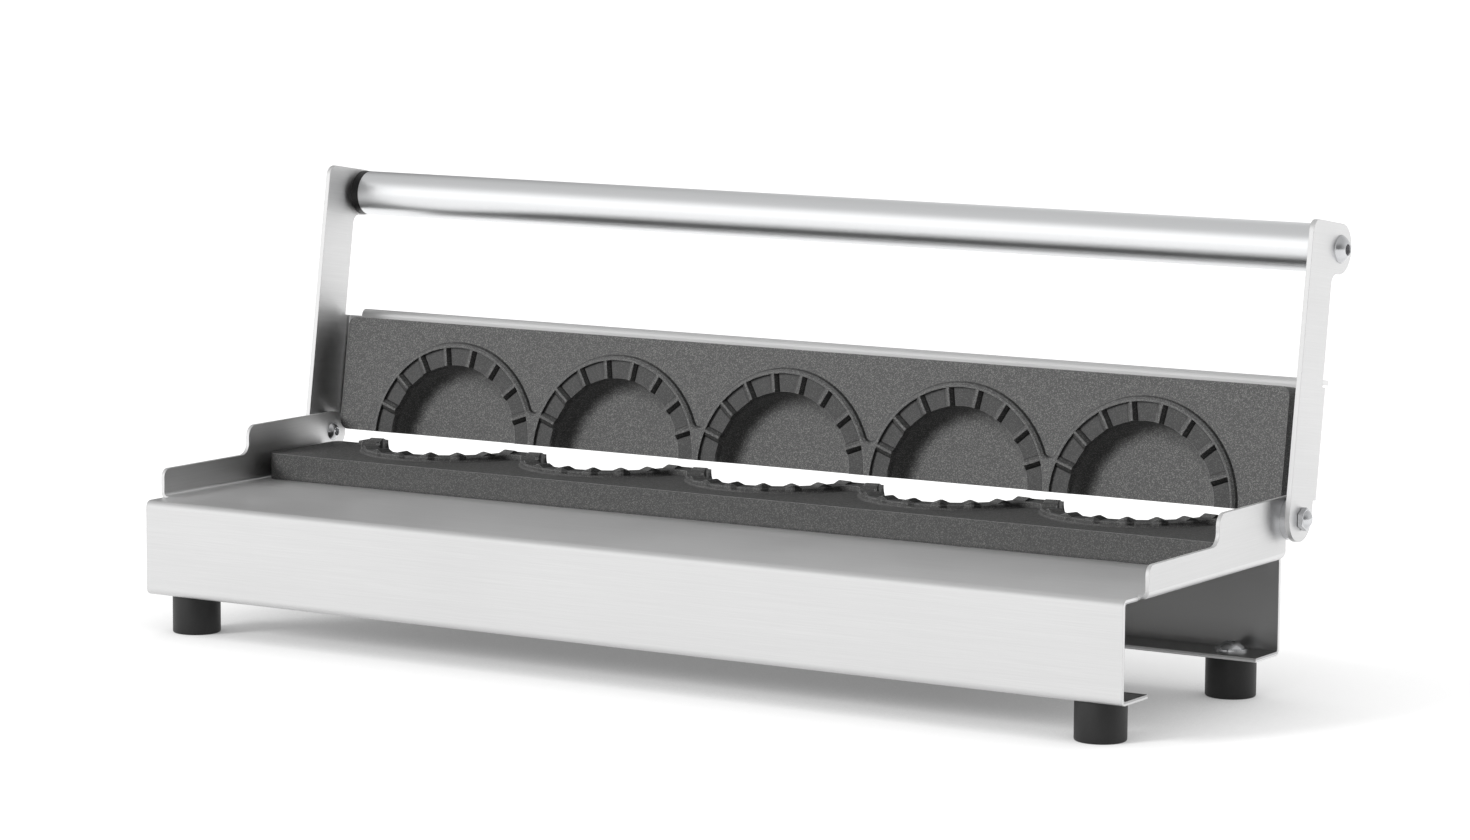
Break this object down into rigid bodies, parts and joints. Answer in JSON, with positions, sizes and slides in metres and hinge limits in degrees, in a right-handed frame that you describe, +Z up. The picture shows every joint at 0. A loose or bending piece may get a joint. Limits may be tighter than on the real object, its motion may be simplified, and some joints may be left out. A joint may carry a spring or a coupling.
{
  "type": "dumpling press",
  "caption": "Bench dumpling press: folded steel tray on rubber feet, hinged lid with tube handle, matching cast moulds with a row of half-round crimping bays.",
  "frame": {"origin": "on the bench, below the middle of the overall box with the lid open", "axes": "+X along the row of bays, to the right of the person at the press; +Y to the rear, where the hinge is; +Z up"},
  "size_m": [0.6038, 0.2158, 0.2329],
  "materials": {
    "stainless_sheet": "brushed stainless sheet with deburred cut edges",
    "stainless_tube": "polished stainless tube",
    "mould_coating": "cast aluminium under a speckled dark non-stick coating",
    "foot_rubber": "satin black rubber",
    "collar_polymer": "satin black moulded plastic",
    "fastener_steel": "bright stainless fasteners"
  },
  "bodies": {
    "base": {"base_tray": "stainless_sheet", "foot_front_left": "foot_rubber", "foot_front_right": "foot_rubber", "foot_rear_left": "foot_rubber", "foot_rear_right": "foot_rubber", "foot_washers": "fastener_steel", "foot_screws": "fastener_steel", "lower_mould": "mould_coating", "lower_mould_screws": "fastener_steel", "pivot_screws": "fastener_steel", "pivot_spacer_left": "fastener_steel", "pivot_spacer_right": "fastener_steel", "pivot_nuts": "fastener_steel"},
    "lid": {"lid_frame": "stainless_sheet", "upper_mould": "mould_coating", "upper_mould_screws": "fastener_steel", "handle_tube": "stainless_tube", "handle_collar_left": "collar_polymer", "handle_collar_right": "collar_polymer", "handle_plug_left": "fastener_steel", "handle_plug_right": "fastener_steel", "handle_screws": "fastener_steel"}
  },
  "joints": [
    {"name": "lid_hinge", "type": "hinge", "parent": "base", "child": "lid", "pos_m": [0, 0.05708, 0.0881], "axis": [1, 0, 0], "range_deg": [0, 98.63]}
  ]
}
